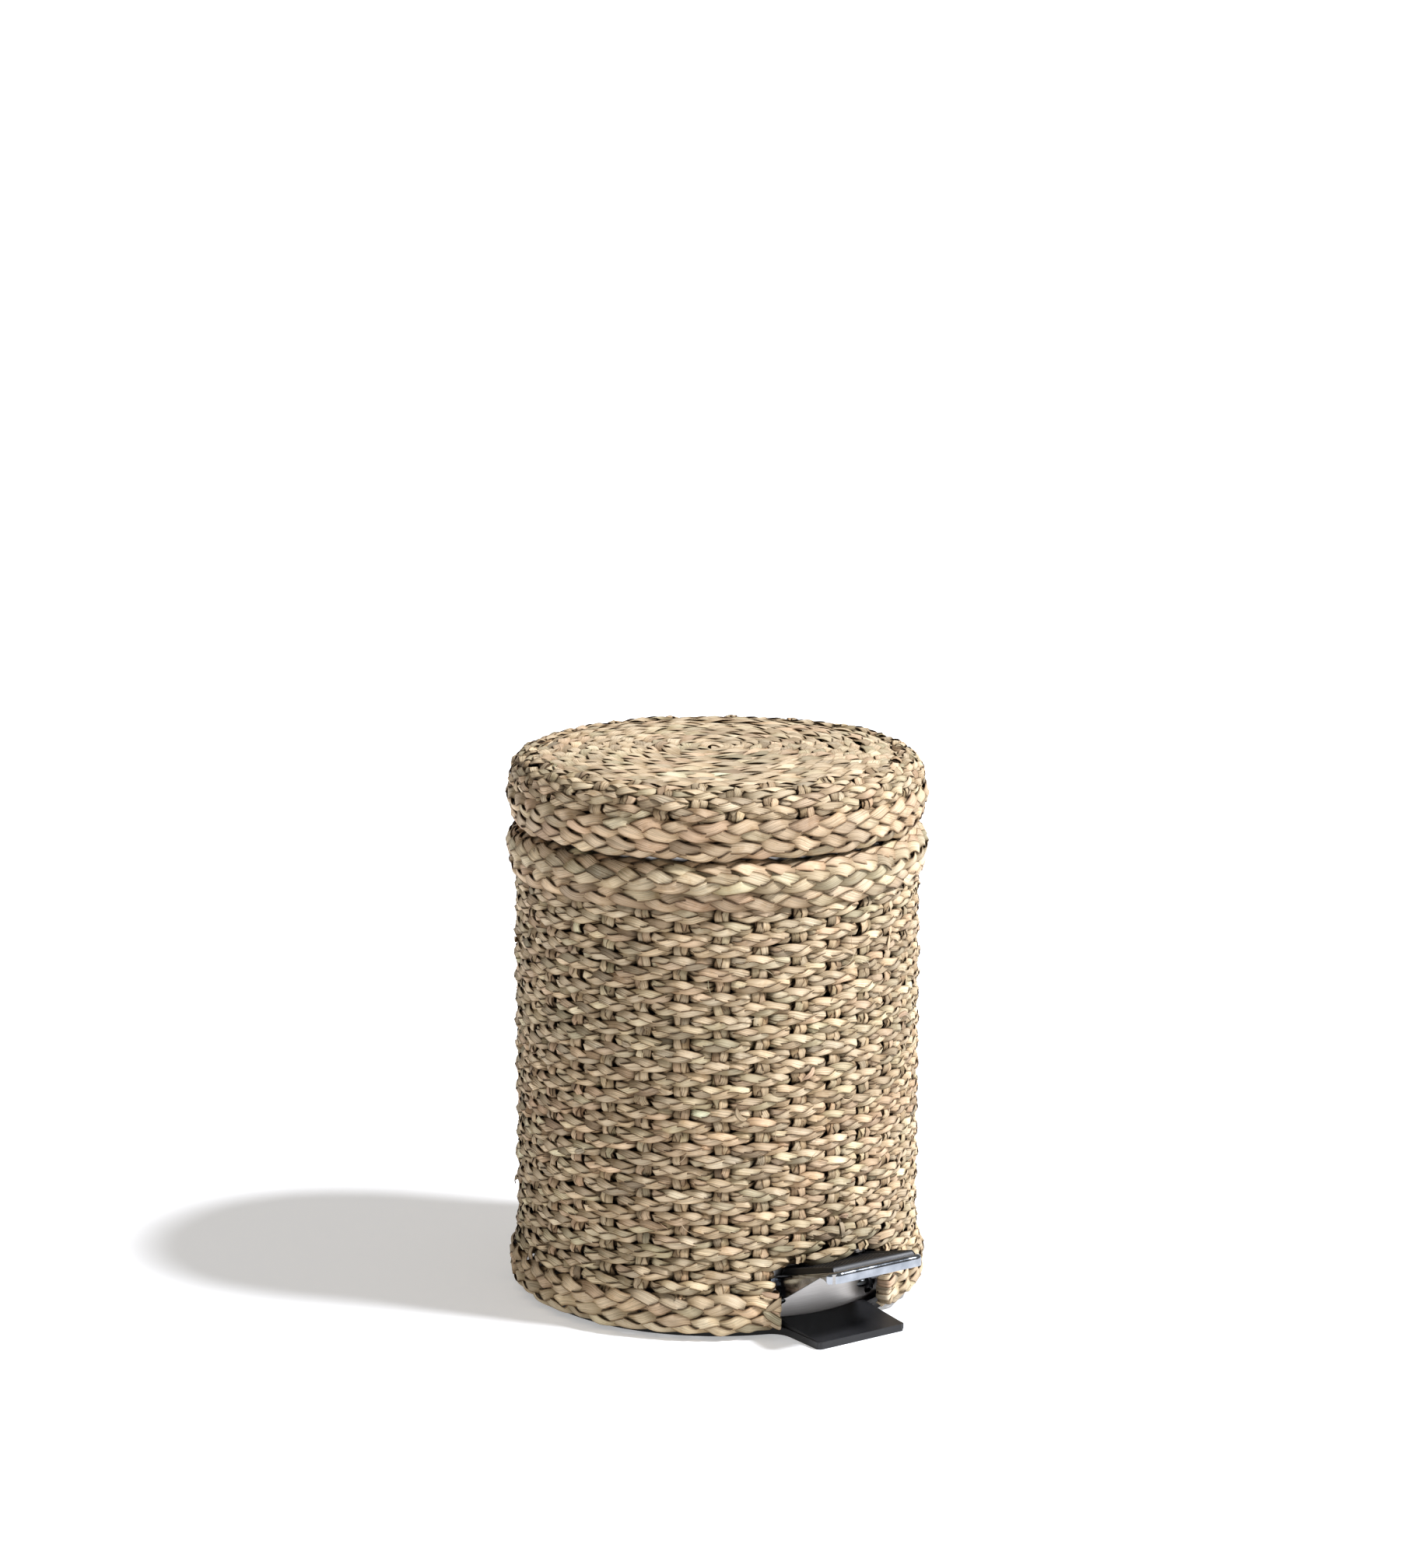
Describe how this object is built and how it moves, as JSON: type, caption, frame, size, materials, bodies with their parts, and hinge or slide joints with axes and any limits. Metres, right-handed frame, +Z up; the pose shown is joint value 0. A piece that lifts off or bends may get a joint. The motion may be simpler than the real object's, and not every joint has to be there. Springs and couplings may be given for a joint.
{
  "type": "pedal bin",
  "caption": "Round step bin with a steel shell, a hand-woven seagrass cover and lid, a foot pedal linked to the lid, and a lift-out inner bucket.",
  "frame": {"origin": "middle of the round base, on the floor plane", "axes": "+Z up, the pedal faces -Y, the lid's hinge is on the +Y side, +X to the right seen from the front"},
  "size_m": [0.2288, 0.264, 0.3],
  "materials": {
    "seagrass": "matte dried seagrass",
    "black_plastic": "matte",
    "brushed_steel": "brushed",
    "polished_steel": "polished",
    "zinc_steel": "zinc plated",
    "dark_steel": "dark oxide",
    "black_rubber": "ribbed matte",
    "bucket_plastic": "satin"
  },
  "bodies": {
    "bin": {"base_tray": "black_plastic", "outer_shell": "brushed_steel", "hinge_bracket": "black_plastic", "hinge_rivets": "zinc_steel", "hinge_pin": "zinc_steel", "pivot_pin": "dark_steel", "pivot_caps": "black_plastic", "rod_guide": "black_plastic", "woven_wall": "seagrass", "foot_braid_lower": "seagrass", "foot_braid_upper": "seagrass", "rim_braid_lower": "seagrass", "rim_braid_upper": "seagrass"},
    "lid": {"lid_shell": "brushed_steel", "lid_skirt": "brushed_steel", "lid_lever": "zinc_steel", "lid_rivets": "zinc_steel", "lid_braid_lower": "seagrass", "lid_braid_upper": "seagrass", "woven_lid_side": "seagrass", "woven_lid_top": "seagrass"},
    "pedal": {"pedal_plate": "polished_steel", "pedal_pad": "black_rubber", "pedal_arm": "zinc_steel", "pedal_rivets": "zinc_steel", "pivot_bushes": "black_plastic"},
    "rod": {"lift_rod": "zinc_steel"},
    "bucket": {"bucket": "bucket_plastic"},
    "bail": {"bail_wire": "zinc_steel", "bail_grip": "black_plastic"}
  },
  "joints": [
    {"name": "lid_open", "type": "hinge", "parent": "bin", "child": "lid", "pos_m": [0, 0.11, 0.2625], "axis": [-1, 0, 0], "range_deg": [0, 85]},
    {"name": "rod_lift", "type": "hinge", "parent": "lid", "child": "rod", "pos_m": [0, 0.09577, 0.24946], "axis": [-1, 0, 0], "range_deg": [-86, 0.5]},
    {"name": "pedal_press", "type": "hinge", "parent": "bin", "child": "pedal", "pos_m": [0, -0.0945, 0.0165], "axis": [1, 0, 0], "range_deg": [0, 8.2]},
    {"name": "bucket_lift", "type": "slide", "parent": "bin", "child": "bucket", "axis": [0, 0, 1], "range_m": [0, 0.01]},
    {"name": "bail_swing", "type": "hinge", "parent": "bucket", "child": "bail", "pos_m": [0, 0, 0.2595], "axis": [-1, 0, 0], "range_deg": [0, 8]}
  ],
  "couplings": [
    {"joint": "rod_lift", "follows": "lid_open", "ratio": -1},
    {"joint": "pedal_press", "follows": "lid_open", "ratio": 0.0953}
  ]
}
